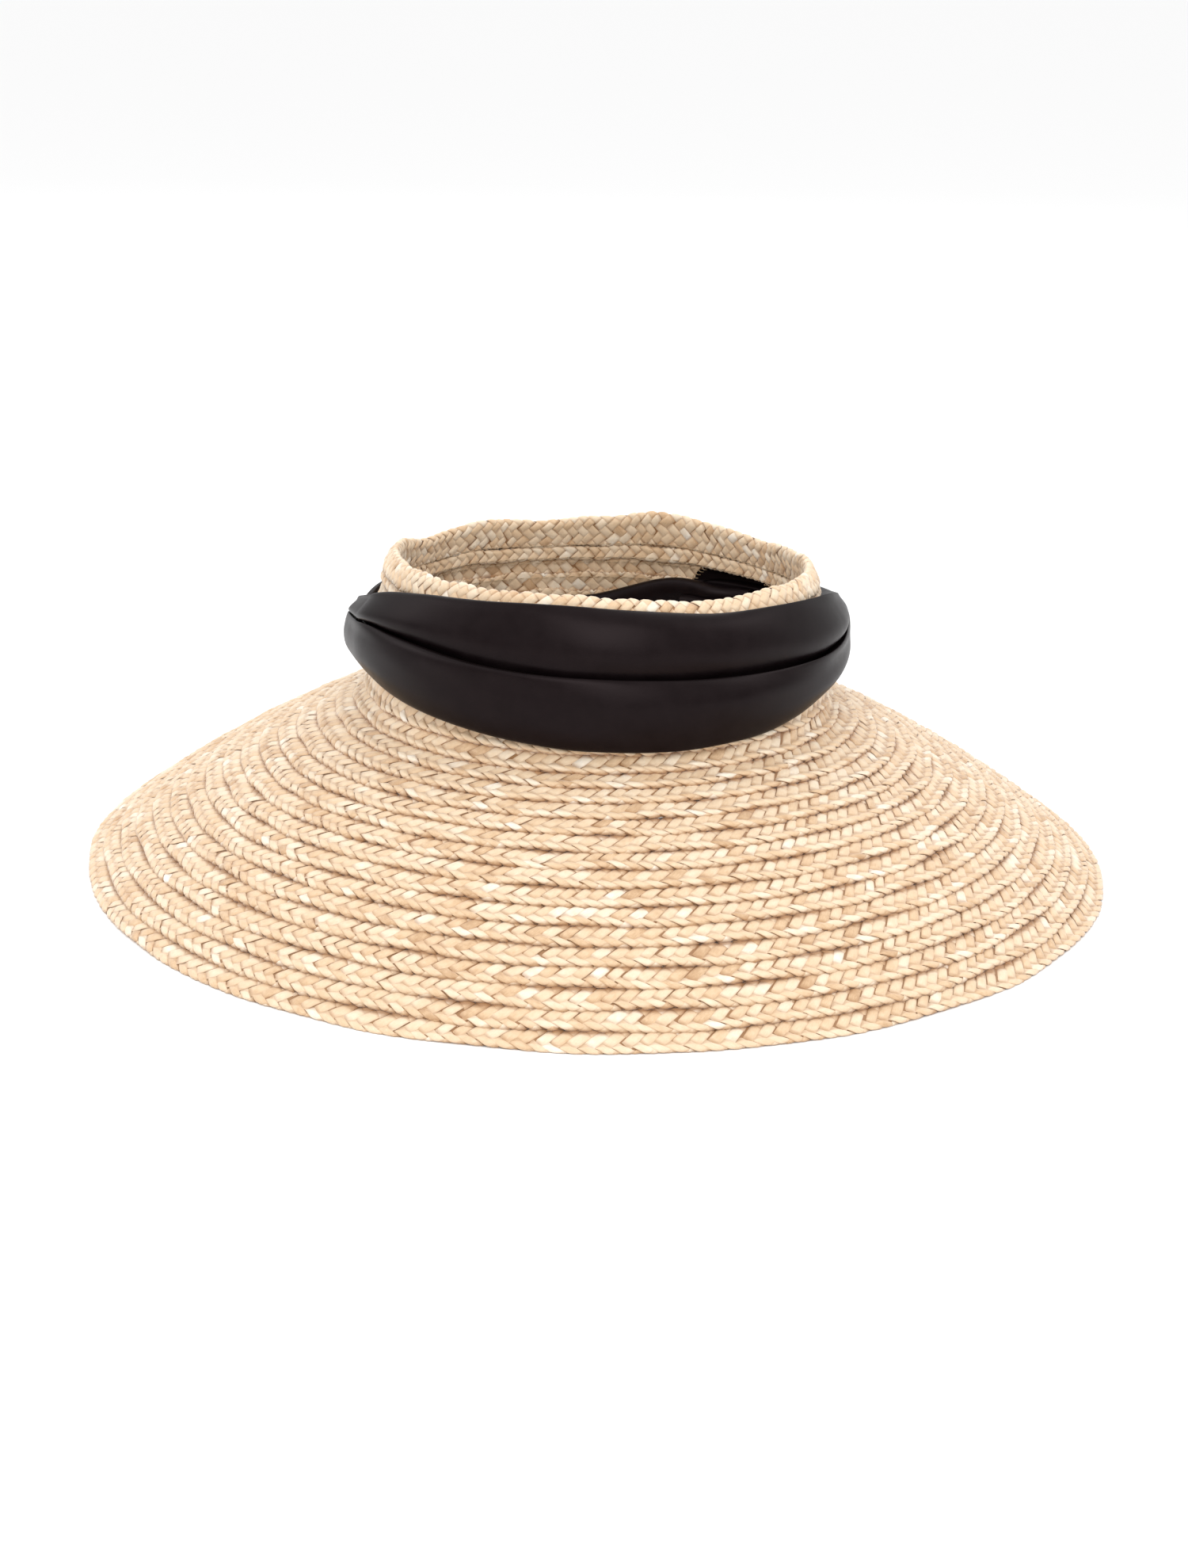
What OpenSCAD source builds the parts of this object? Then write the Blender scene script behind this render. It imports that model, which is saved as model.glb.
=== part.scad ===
// Sun visor: an open-crown straw hat. One plait of straw is sewn round and round
// into a short collar and a wide sloping brim. A satin scarf passes round the
// front of the collar and goes inside through a slot on each side.
//
// Frame: millimetres, +Z up, the front of the visor towards -Y. The origin is
// the middle of the footprint, and the brim's outer edge rests on Z = 0.
// The plan shape is an oval, and every row is an exact offset of it.
// Across a row, s runs down the wall from the rim and n stands out from it.

/* [Head opening] */
// Radius of the oval's front and back halves, where the collar meets the brim
opening_radius = 89; // [84:1:94]
// Length of the straight stretch on each side of the oval
straight_side = 10; // [4:1:24]

/* [Straw plait] */
// Width of the flat plait
plait_width = 9.8; // [9.2:0.1:10.4]
// Thickness of the plait in the middle of its width
plait_thickness = 1.2; // [0.9:0.1:1.4]
// Distance from one sewn row to the next
row_pitch = 8.05; // [7.8:0.05:8.4]
// Gap between two rows where they overlap
row_gap = 0.12; // [0.1:0.01:0.2]

/* [Collar and brim] */
// Slope of the collar wall at the rim, in degrees below level
collar_top_slope = 74; // [70:1:80]
// Slope of the collar wall at half of its height
collar_mid_slope = 84; // [80:1:88]
// Slope of the brim where it leaves the collar
brim_inner_slope = 21; // [18:1:26]
// Slope of the brim at its outer edge
brim_outer_slope = 39; // [34:1:42]

/* [Rim fold] */
// Depth of the folded plait outside the rim
fold_outside = 5.5; // [4:0.5:7]
// Depth of the folded plait inside the rim
fold_inside = 10.5; // [9:0.5:12]
// Depth at which the facing row inside the rim ends
facing_end = 17; // [15:0.5:19]

/* [Scarf slots] */
// Direction of a slot's middle, in degrees round from the front
slot_azimuth = 119; // [114:1:124]
// Length of a slot along the wall
slot_length = 44; // [38:1:48]
// Height of a slot
slot_height = 24; // [20:1:26]
// Height of a slot's middle above the head opening
slot_level = 26; // [25:1:28]

/* [Scarf] */
// Height of the scarf at the front of the collar
scarf_front_height = 44; // [38:1:46]
// Thickness of the bulging folds at the front
scarf_thickness = 9; // [6:0.5:10]
// Thickness of the scarf inside the collar
tail_thickness = 7; // [5:0.5:8]
// Direction of a tail's end, in degrees round from the front
tail_end = 171; // [160:1:174]

/* [Sweatband] */
// Height of the ribbon inside the head opening
sweatband_height = 12; // [10:1:13]

/* [Hidden] */
$fn = 96;
COLLAR_ROWS = 7;
BRIM_ROWS = 15;

// Distances down the wall, measured from the top of collar row 1
s_base = COLLAR_ROWS * row_pitch;
s_edge = (COLLAR_ROWS + BRIM_ROWS) * row_pitch;
flare_start = s_base - 1.3 * row_pitch;

// How far a row's outer edge is lifted to lie on the next row, per mm of width
row_lift = (plait_thickness + row_gap) / row_pitch;

// Slope of the wall at distance s: a near-upright collar, a short flare, a brim
function slope(s) = lookup(s, [
    [0, collar_top_slope],
    [flare_start / 2, collar_mid_slope],
    [flare_start, collar_mid_slope - 2],
    [s_base - 0.5 * row_pitch, (collar_mid_slope + brim_inner_slope) / 2],
    [s_base + 0.5 * row_pitch, brim_inner_slope],
    [s_edge, brim_outer_slope]]);

// The wall as [out, down] steps from the rim, summed once
path_step = 0.5;
path_steps = ceil((s_edge + 2 * row_pitch) / path_step);
wall_path = [for (i = 0, out = 0, down = 0; i <= path_steps;
                  a = slope((i + 0.5) * path_step),
                  out = out + path_step * cos(a), down = down + path_step * sin(a),
                  i = i + 1) [i * path_step, out, down]];
wall_out = [for (p = wall_path) [p[0], p[1]]];
wall_down = [for (p = wall_path) [p[0], p[2]]];
base_out = lookup(s_base, wall_out);

// A point at distance s down the wall and n out from it, as [offset, drop]
function wall_point(s, n) =
    let (a = slope(s), over = min(s, 0))
    [lookup(s, wall_out) + over * cos(a) - base_out + n * sin(a),
     -lookup(s, wall_down) - over * sin(a) + n * cos(a)];

// Height of the rim line. The outermost row is cut off level at Z = 0, a little
// above its lowest corner, which gives it a narrow flat foot.
edge_s = s_edge - row_pitch + plait_width;
foot_depth = 0.45;
rim_z = -wall_point(edge_s, row_lift * plait_width)[1] - foot_depth;
base_z = rim_z - lookup(s_base, wall_down);

function to_profile(s, n) = wall_point(s, n) + [0, rim_z];

// Offset of the wall's face from the base oval, at height z
wall_face = [for (i = [path_steps:-1:0])
    [rim_z - wall_path[i][2], wall_path[i][1] - base_out]];
function wall_offset(z) = lookup(z, wall_face);

// ---- The oval ------------------------------------------------------------

// The plan is two half circles, front and back, joined by short straight sides.
// A point at an offset from it, where its outward normal points to angle a.
function oval_point(a, offset) =
    (opening_radius + offset) * [cos(a), sin(a)]
    + [0, sin(a) > 0 ? straight_side / 2 : -straight_side / 2];

// Sweeps a profile, given as [offset, height] points, round the whole oval
module oval_sweep(profile) {
    outline = [for (p = profile)
        [round(1000 * p[0]) / 1000 + opening_radius, round(1000 * p[1]) / 1000]];
    for (back = [0, 1])
        translate([0, (back - 0.5) * straight_side, 0])
            rotate_extrude(start = 180 - 180 * back, angle = 180)
                polygon(outline);
    for (turn = [0, 180])
        rotate([90, 0, turn])
            linear_extrude(straight_side, center = true)
                polygon(outline);
}

// ---- Rows of plait -------------------------------------------------------

// The plait is thinner at its two edges
plait_stations = [0, 0.12, 0.5, 0.88, 1];
plait_fullness = [0.45, 0.9, 1, 0.9, 0.45];

// A row's cross-section: its outer edge lies over the next row's inner edge
function row_profile(row) =
    let (start = (row - 1) * row_pitch, last = len(plait_stations) - 1)
    concat(
        [for (i = [0:last])
            let (w = plait_stations[i] * plait_width)
            to_profile(start + w, w * row_lift)],
        [for (i = [last:-1:0])
            let (w = plait_stations[i] * plait_width)
            to_profile(start + w, w * row_lift + plait_thickness * plait_fullness[i])]);

// One slot's space: a stadium-shaped hole through the wall
module slot_space() {
    half = slot_height / 2;
    straight = slot_length - slot_height;
    for (side = [-1, 1]) {
        a = side * slot_azimuth - 90;
        at = oval_point(a, wall_offset(base_z + slot_level));
        translate([at[0], at[1], base_z + slot_level])
            rotate([0, 0, a])
                rotate([0, 90, 0]) {
                    cube([slot_height, straight, 30], center = true);
                    for (end = [-1, 1])
                        translate([0, end * straight / 2, 0])
                            cylinder(r = half, h = 30, center = true);
                }
    }
}

module collar_row(i) {
    color("burlywood")
    difference() {
        oval_sweep(row_profile(i));
        if (i > 1) slot_space();
    }
}

// The outermost row ends in a narrow flat foot that the visor stands on
module brim_row(i) {
    color("wheat")
    if (i < BRIM_ROWS)
        oval_sweep(row_profile(COLLAR_ROWS + i));
    else
        intersection() {
            oval_sweep(row_profile(COLLAR_ROWS + i));
            translate([0, 0, 100]) cube([600, 600, 200], center = true);
        }
}

// The last plait is folded over the top of the collar, like a binding
module rim_fold_plait() {
    skin = 0.1;
    t = plait_thickness;
    outer = plait_thickness + skin;
    color("tan")
    oval_sweep([
        to_profile(fold_inside, -skin),
        to_profile(-0.3, -skin),
        to_profile(-0.3, outer),
        to_profile(fold_outside, outer + fold_outside * row_lift),
        to_profile(fold_outside, outer + fold_outside * row_lift + 0.7 * t),
        to_profile(0.5, outer + t),
        to_profile(-2.4, outer + 0.3 * t),
        to_profile(-2.9, 0.5 * t),
        to_profile(-2.4, -0.5 * t),
        to_profile(0.5, -skin - t),
        to_profile(fold_inside - 0.5, -skin - t),
        to_profile(fold_inside, -skin - 0.5 * t)]);
}

// A second plait lies flat inside the wall, just below the fold
module rim_facing_plait() {
    skin = 0.1;
    t = plait_thickness;
    start = fold_inside + 0.15;
    color("tan")
    oval_sweep([
        to_profile(facing_end, -skin),
        to_profile(start, -skin),
        to_profile(start, -skin - 0.5 * t),
        to_profile(start + 0.6, -skin - t),
        to_profile(facing_end - 0.6, -skin - t),
        to_profile(facing_end, -skin - 0.5 * t)]);
}

// ---- Ribbon and thread ---------------------------------------------------

// A ribbon inside the head opening, against the lowest part of the collar
module sweatband() {
    stop = s_base - 1;
    inner = [for (i = [0:4]) to_profile(stop - i / 4 * sweatband_height, -1.3)];
    outer = [for (i = [4:-1:0]) to_profile(stop - i / 4 * sweatband_height, -0.5)];
    color("dimgray") oval_sweep(concat(inner, outer));
}

// A line of thread on the inner face of the wall, at distance s down it
module thread_line(s, depth) {
    oval_sweep([
        to_profile(s, -depth), to_profile(s + 0.5, -depth),
        to_profile(s + 0.5, -depth - 0.25), to_profile(s, -depth - 0.25)]);
}

// Two lines of stitching hold the fold and the facing row inside the rim
module rim_stitching() {
    on_plait = 0.1 + plait_thickness + 0.12;
    color("peru") {
        thread_line(fold_inside - 1.4, on_plait);
        thread_line(facing_end - 1.6, on_plait);
    }
}

// One line of stitching joins each row to the next, inside the collar
module collar_stitching() {
    color("peru")
    difference() {
        for (i = [2:COLLAR_ROWS - 1])
            thread_line(i * row_pitch + (i == 2 ? row_pitch / 4 : 0.8), 0.05);
        slot_space();
    }
}

module brim_stitching() {
    color("peru")
    for (i = [0:BRIM_ROWS - 1])
        thread_line((COLLAR_ROWS + i) * row_pitch + 0.8, 0.05);
}

// Overcast thread round a slot keeps the cut straw from fraying
module slot_stitching(side) {
    a = side * slot_azimuth - 90;
    at = oval_point(a, wall_offset(base_z + slot_level) - 1.2);
    half = slot_height / 2;
    straight = slot_length - slot_height;
    color("peru")
    translate([at[0], at[1], base_z + slot_level])
        rotate([0, 0, a])
            rotate([0, 90, 0])
                for (end = [-1, 1])
                    translate([0, end * straight / 2, 0])
                        rotate([0, 0, end > 0 ? 20 : 200])
                            rotate_extrude(angle = 140)
                                translate([half - 0.6, 0])
                                    square([0.5, 0.6], center = true);
}

// ---- Scarf ---------------------------------------------------------------

// Points on a section's outer face: v runs up it from 0 to 1, and u is how far
// out it stands, from 0 to 1. It bulges in two folds, with a crease between them.
section_v = [0.04, 0.14, 0.28, 0.42, 0.52, 0.62, 0.76, 0.9, 0.97];
section_u = [0.1, 0.75, 1, 0.85, 0.35, 0.6, 0.85, 0.6, 0.1];

// A closed sweep of cloth sections. Each station is [azimuth, inner offset,
// outer offset, low height, high height, fullness of the two folds].
module cloth_sweep(stations) {
    per = 2 * len(section_v);
    points = [for (st = stations)
        let (a = st[0] - 90, span = st[4] - st[3])
        each concat(
            [for (i = [0:len(section_v) - 1])
                let (u = 1 - st[5] * (1 - section_u[i]),
                     p = oval_point(a, st[1] + (st[2] - st[1]) * u))
                [p[0], p[1], st[3] + span * section_v[i]]],
            [for (i = [len(section_v) - 1:-1:0])
                let (rim = i == 0 || i == len(section_v) - 1,
                     p = oval_point(a, st[1] + (rim ? 0.08 * (st[2] - st[1]) : 0)))
                [p[0], p[1], st[3] + span * section_v[i]]])];
    count = len(stations);
    polyhedron(points, concat(
        [[for (j = [0:per - 1]) j]],
        [[for (j = [per - 1:-1:0]) (count - 1) * per + j]],
        [for (i = [0:count - 2], j = [0:per - 1])
            [i * per + j, (i + 1) * per + j,
             (i + 1) * per + (j + 1) % per, i * per + (j + 1) % per]]));
}

// A smooth step from 0 at a to 1 at b
function ease(x, a, b) =
    let (t = min(1, max(0, (x - a) / (b - a)))) t * t * (3 - 2 * t);

// The scarf stands clear of the lifted row edges outside the wall, and is fuller
// at the sides. It crosses the wall inside each slot and stops at the inner mouth.
cloth_clear = 4;
inside_clear = 4.5;
throat_end = slot_azimuth + 9;
function front_station(az) =
    let (x = abs(az),
         cross = ease(x, slot_azimuth - 13, slot_azimuth + 10),
         slot_low = slot_level - slot_height / 2,
         low = base_z + 9.5 + (slot_low - 2.5) * ease(x, 12, 80) - 3.5 * ease(x, 95, 116),
         top = base_z + 8 + scarf_front_height - 18.5 * ease(x, 66, slot_azimuth - 1),
         fuller = 1 + 0.35 * ease(x, 20, 75) * (1 - cross),
         thick = scarf_thickness * fuller * (1 - 0.45 * cross),
         face = wall_offset(base_z + slot_level),
         inner = face + cloth_clear - (cloth_clear + inside_clear + tail_thickness) * cross)
    [az, inner, inner + thick, low, top, 1 - 0.7 * cross];

module scarf_front() {
    step = throat_end / 32;
    color("#1c1a1c")
    cloth_sweep([for (i = [-32:32]) front_station(i * step)]);
}

// A tail hangs inside the back wall. Its near end is rounded about an upright
// line in the slot's mouth, where it swings.
module scarf_tail(side) {
    step = 3;
    first = throat_end + 5.5;
    count = floor((tail_end - first) / step);
    face = wall_offset(base_z + slot_level + 4) - 3;
    middle = face - tail_thickness / 2;
    stations = [for (i = [0:count])
        let (x = i / count, az = first + x * (tail_end - first),
             near = sqrt(max(0.02, 1 - pow(1 - min(1, x * count / 1.2), 2))),
             far = sqrt(max(0.05, 1 - pow(max(0, (x - 0.9) / 0.1), 2))),
             half = tail_thickness / 2 * min(near, far))
        [side * az, middle - half, middle + half,
         base_z + slot_level - slot_height / 2 - 1 - 22 * ease(x, 0, 0.9),
         base_z + slot_level + 3 - 11 * ease(x, 0, 1), 0.3]];
    color("#1c1a1c")
    if (side > 0) cloth_sweep(stations);
    else cloth_sweep([for (i = [count:-1:0]) stations[i]]);
}

// ---- Assembly ------------------------------------------------------------

rim_fold_plait();
rim_facing_plait();
for (i = [1:COLLAR_ROWS])
    collar_row(i);
for (i = [1:BRIM_ROWS])
    brim_row(i);
sweatband();
rim_stitching();
collar_stitching();
brim_stitching();
slot_stitching(1);  // slot_stitching_right
slot_stitching(-1);  // slot_stitching_left
scarf_front();
scarf_tail(1);  // scarf_tail_right
scarf_tail(-1);  // scarf_tail_left
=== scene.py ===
import math

import bpy
import numpy as np
from mathutils import Matrix, Vector


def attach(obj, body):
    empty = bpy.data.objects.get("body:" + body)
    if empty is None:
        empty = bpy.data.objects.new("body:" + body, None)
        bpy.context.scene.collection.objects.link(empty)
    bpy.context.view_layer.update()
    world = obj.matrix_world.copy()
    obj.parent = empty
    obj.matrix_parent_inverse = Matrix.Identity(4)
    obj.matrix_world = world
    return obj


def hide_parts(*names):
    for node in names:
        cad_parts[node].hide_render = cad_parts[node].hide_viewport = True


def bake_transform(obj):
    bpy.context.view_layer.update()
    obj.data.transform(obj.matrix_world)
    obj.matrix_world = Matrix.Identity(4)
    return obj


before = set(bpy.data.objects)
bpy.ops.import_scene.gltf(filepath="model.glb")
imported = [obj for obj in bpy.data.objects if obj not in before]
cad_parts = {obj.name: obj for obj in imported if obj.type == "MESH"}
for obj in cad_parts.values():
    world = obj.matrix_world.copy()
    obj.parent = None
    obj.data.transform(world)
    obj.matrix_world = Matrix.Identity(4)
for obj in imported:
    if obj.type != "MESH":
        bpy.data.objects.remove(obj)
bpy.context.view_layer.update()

# ---- The design's driving sizes, in millimetres ----------------------------------------

MM = 0.001
OPENING_RADIUS = 89.0
STRAIGHT_SIDE = 10.0
PLAIT_WIDTH = 9.8
PLAIT_THICKNESS = 1.2
ROW_PITCH = 8.05
ROW_GAP = 0.12
FOLD_OUTSIDE = 5.5
FOLD_INSIDE = 10.5
FACING_END = 17.0
SLOT_AZIMUTH = 119.0
SLOT_LENGTH = 44.0
SLOT_HEIGHT = 24.0
SLOT_LEVEL = 26.0
SWEATBAND_HEIGHT = 12.0
COLLAR_ROWS = 7
BRIM_ROWS = 15
FOOT_DEPTH = 0.45

SLOT_ROUND = SLOT_HEIGHT / 2
SLOT_REACH = (SLOT_LENGTH - SLOT_HEIGHT) / 2
S_BASE = COLLAR_ROWS * ROW_PITCH
S_EDGE = (COLLAR_ROWS + BRIM_ROWS) * ROW_PITCH
FLARE_START = S_BASE - 1.3 * ROW_PITCH
ROW_LIFT = (PLAIT_THICKNESS + ROW_GAP) / ROW_PITCH
# The wall's slope in degrees below level, at distances s down it from the rim
SLOPE_AT = [0, FLARE_START / 2, FLARE_START, S_BASE - ROW_PITCH / 2, S_BASE + ROW_PITCH / 2,
            S_EDGE]
SLOPE = [74, 84, 82, 52.5, 21, 39]


def slope(s):
    """Slope of the wall, in radians below level, at distance s down it from the rim."""
    return np.radians(np.interp(s, SLOPE_AT, SLOPE))


PATH_STEP = 0.5
PATH_S = np.arange(0, S_EDGE + 2 * ROW_PITCH + PATH_STEP, PATH_STEP)
PATH_SLOPE = slope(PATH_S[:-1] + PATH_STEP / 2)
PATH_OUT = np.concatenate([[0], np.cumsum(PATH_STEP * np.cos(PATH_SLOPE))])
PATH_DOWN = np.concatenate([[0], np.cumsum(PATH_STEP * np.sin(PATH_SLOPE))])
BASE_OUT = np.interp(S_BASE, PATH_S, PATH_OUT)


def wall_point(s, n):
    """Offset from the oval and height of a point s down the wall and n out from it."""
    a, over = slope(s), np.minimum(s, 0)
    out = np.interp(s, PATH_S, PATH_OUT) + over * np.cos(a) - BASE_OUT + n * np.sin(a)
    return out, RIM_Z - np.interp(s, PATH_S, PATH_DOWN) - over * np.sin(a) + n * np.cos(a)


# The rim's height follows from the last row's edge, which is read with the rim at zero
RIM_Z = 0.0
RIM_Z = -wall_point(S_EDGE - ROW_PITCH + PLAIT_WIDTH, ROW_LIFT * PLAIT_WIDTH)[1] - FOOT_DEPTH
BASE_Z = RIM_Z - np.interp(S_BASE, PATH_S, PATH_DOWN)
SLOT_Z = BASE_Z + SLOT_LEVEL


def wall_offset(z):
    """Offset of the wall's face from the oval at height z."""
    return np.interp(RIM_Z - z, PATH_DOWN, PATH_OUT) - BASE_OUT


def oval(azimuth, offset, shift):
    """Plan point at an azimuth in degrees from the front. shift is the half circle's middle."""
    a = np.radians(azimuth)
    radius = OPENING_RADIUS + offset
    return radius * np.sin(a), shift - radius * np.cos(a)


def oval_length(radius):
    return 2 * math.pi * radius + 2 * STRAIGHT_SIDE


def round_oval(x, radius):
    """Azimuth and middle for a distance x along the oval ring of that radius, from the back."""
    quarter, side = math.pi * radius / 2, STRAIGHT_SIDE
    knots = np.cumsum([0, quarter, side, 2 * quarter, side, quarter])
    x = np.mod(x, knots[-1])
    half = side / 2
    return (np.interp(x, knots, [-180, -90, -90, 90, 90, 180]),
            np.interp(x, knots, [half, half, -half, -half, half, half]))


# ---- How this hat has settled ----------------------------------------------------------

VIEW_AZIMUTH = math.radians(-16)
LEAN_RIGHT, LEAN_AWAY = -0.0137, -0.0285
RIM_SHIFT = 1.3
BRIM_REACH, BRIM_SQUEEZE = 105.0, 0.0135
BRIM_SAG = 2.6
# The rim's waves: azimuth and width in degrees, height in millimetres
RIM_WAVES = [(182, 15, -1.8), (145, 13, 2.2), (-25, 12, 0.7), (12, 13, -1.2), (-139, 14, -3.4),
             (108, 14, -1.5)]


def ease(x, a, b):
    """A smooth step from 0 at a to 1 at b."""
    t = np.clip((x - a) / (b - a), 0, 1)
    return t * t * (3 - 2 * t)


def settle(points):
    """The straw leans and waves towards the rim, and the brim sags a little at its sides.
    Points are in millimetres."""
    x, y, z = points[..., 0], points[..., 1], points[..., 2]
    c, s = math.cos(VIEW_AZIMUTH), math.sin(VIEW_AZIMUTH)
    right, away = c * x + s * y, c * y - s * x
    up = np.clip((z - BASE_Z) / (RIM_Z - BASE_Z), 0, 1.1)
    azimuth = np.degrees(np.arctan2(x, -y))
    wave = sum(size * np.exp(-(((azimuth - at + 180) % 360 - 180) / width) ** 2)
               for at, width, size in RIM_WAVES)
    flare = np.clip((np.hypot(x, y) - OPENING_RADIUS) / BRIM_REACH, 0, 1)
    sideways = (right / np.maximum(np.hypot(x, y), 1)) ** 4
    z = z - BRIM_SAG * 4 * flare * (1 - flare) * sideways * ease(flare, 0, 0.2)
    x = x * (1 - BRIM_SQUEEZE * flare)
    return np.stack([x + up * RIM_SHIFT * c, y + up * RIM_SHIFT * s,
                     z + up * (LEAN_RIGHT * right + LEAN_AWAY * away) + up ** 3 * wave], -1)


def above_floor(z):
    """Heights under a low level are pressed smoothly up, so that none is below the floor."""
    low, least, softness = 0.5, 0.02, 0.8
    return np.where(z < low, least + (low - least) * np.exp((z - low) / softness), z)


def ripple(rng, waves, size):
    """A smooth closed random wave of an angle in radians, with whole numbers of waves."""
    parts = 6
    k = rng.integers(waves[0], waves[1], parts)
    phase = rng.uniform(0, 2 * math.pi, parts)
    amount = rng.uniform(0.5, 1, parts) * size / 3
    return lambda t: sum(a * np.sin(n * t + p) for n, p, a in zip(k, phase, amount))


# ---- Meshes ----------------------------------------------------------------------------

def mesh_piece(name, points, quads, materials, slots=None, attributes=()):
    """A mesh object from millimetre points and quads, with float attributes on its points."""
    mesh = bpy.data.meshes.new(name)
    mesh.vertices.add(len(points))
    mesh.vertices.foreach_set("co", (np.asarray(points, float) * MM).astype(np.float32).ravel())
    mesh.loops.add(4 * len(quads))
    mesh.loops.foreach_set("vertex_index", quads.astype(np.int32).ravel())
    mesh.polygons.add(len(quads))
    mesh.polygons.foreach_set("loop_start", np.arange(0, 4 * len(quads), 4, dtype=np.int32))
    if slots is not None:
        mesh.polygons.foreach_set("material_index", slots.astype(np.int32))
    mesh.polygons.foreach_set("use_smooth", np.ones(len(quads), bool))
    for key, values in dict(attributes).items():
        kind, field = ("FLOAT", "value") if values.ndim == 1 else ("FLOAT_VECTOR", "vector")
        layer = mesh.attributes.new(key, kind, "POINT")
        layer.data.foreach_set(field, values.astype(np.float32).ravel())
    mesh.update(calc_edges=True)
    mesh.validate()
    obj = bpy.data.objects.new(name, mesh)
    bpy.context.scene.collection.objects.link(obj)
    for material in materials:
        mesh.materials.append(material)
    return obj


def grid_quads(rows, columns, close_rows=False, close_columns=False):
    """Quads of a grid of points stored row by row."""
    i = np.arange(rows if close_rows else rows - 1)
    j = np.arange(columns if close_columns else columns - 1)
    i, j = (a.ravel() for a in np.meshgrid(i, j, indexing="ij"))
    i2, j2 = (i + 1) % rows, (j + 1) % columns
    return np.stack([i * columns + j, i2 * columns + j, i2 * columns + j2, i * columns + j2], -1)


def repeated_quads(cell, count, size, base=0):
    """The quads of count equal grids of that size, one after another from a first point."""
    return (base + np.arange(count)[:, None, None] * size + cell[None]).reshape(-1, 4)


def finish_piece(piece, node):
    """A piece of the visor's own body stands for one node."""
    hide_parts(node)
    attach(piece, "visor")


# ---- Materials -------------------------------------------------------------------------

def new_material(name):
    """A new material, its node tree and its shader."""
    material = bpy.data.materials.new(name)
    material.use_nodes = True
    tree = material.node_tree
    return material, tree, tree.nodes["Principled BSDF"]


def set_inputs(node, **values):
    """Sets inputs by their names, written with _ for a space."""
    for key, value in values.items():
        node.inputs[key.replace("_", " ")].default_value = value


def add(tree, kind, **values):
    """A new node. Each value is for an input, or else for a setting, of that name."""
    node = tree.nodes.new(kind)
    for key, value in values.items():
        if key in node.inputs:
            node.inputs[key].default_value = value
        else:
            setattr(node, key, value)
    return node


def attribute(tree, name, output):
    return add(tree, "ShaderNodeAttribute", attribute_name=name).outputs[output]


def object_place(tree):
    return add(tree, "ShaderNodeTexCoord").outputs["Object"]


def noise(tree, vector, scale, detail, roughness):
    node = add(tree, "ShaderNodeTexNoise", Scale=scale, Detail=detail, Roughness=roughness)
    tree.links.new(vector, node.inputs["Vector"])
    return node.outputs[0]


def bands(tree, vector, direction, scale, distortion):
    node = add(tree, "ShaderNodeTexWave", wave_type="BANDS", bands_direction=direction,
               Scale=scale, Distortion=distortion, Detail=1.0)
    tree.links.new(vector, node.inputs["Vector"])
    return node.outputs[0]


def add_bump(tree, shader, height, strength, distance):
    node = add(tree, "ShaderNodeBump", Strength=strength, Distance=distance)
    tree.links.new(height, node.inputs["Height"])
    tree.links.new(node.outputs[0], shader.inputs["Normal"])


def grey(value):
    return (value, value, value)


def ramp(tree, source, stops):
    """The colours of a ramp, from (position, colour) stops."""
    node = tree.nodes.new("ShaderNodeValToRGB")
    elements = node.color_ramp.elements
    while len(elements) < len(stops):
        elements.new(0.5)
    for element, (at, colour) in zip(elements, stops):
        element.position, element.color = at, (*colour, 1)
    tree.links.new(source, node.inputs["Fac"])
    return node.outputs["Color"]


def math_node(tree, operation, a, b=None, clamp=False):
    """The result of a sum whose terms are numbers or sockets."""
    node = tree.nodes.new("ShaderNodeMath")
    node.operation, node.use_clamp = operation, clamp
    for socket, value in zip(node.inputs, (a, b)):
        if value is None:
            continue
        if isinstance(value, (int, float)):
            socket.default_value = value
        else:
            tree.links.new(value, socket)
    return node.outputs[0]


def from_half(tree, value):
    return math_node(tree, "SUBTRACT", value, 0.5)


def add_scaled(tree, value, texture, size, clamp=False):
    """The value, plus a texture that varies about a half, times a size."""
    change = math_node(tree, "MULTIPLY", from_half(tree, texture), size)
    return math_node(tree, "ADD", value, change, clamp)


def mix_colour(tree, amount, a, b):
    """Socket a mixed with the plain colour b."""
    node = tree.nodes.new("ShaderNodeMix")
    node.data_type = "RGBA"
    sockets = {s.name: s for s in node.inputs if s.enabled}
    tree.links.new(amount, sockets["Factor"])
    tree.links.new(a, sockets["A"])
    sockets["B"].default_value = (*b, 1)
    return [s for s in node.outputs if s.enabled][0]


# How dark the painted shade in the cracks round a strand is, by distance from its middle: across
# it, and along it
SIDE_CRACK_SHADE = [(0.36, grey(0)), (0.45, grey(0.22)), (0.495, grey(1))]
END_CRACK_SHADE = [(0.36, grey(0)), (0.52, grey(0.75))]
# How strongly the painted crack shade and the painted shade in the row joints darken the straw
PAINTED_CRACK_SHADE, PAINTED_JOINT_SHADE = 0.6, 0.8
FIBRE_STRETCH = (0.22, 7.0, 0.0)
FIBRE_SHARE, BLOTCH_SHARE = 0.42, 0.55


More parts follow.
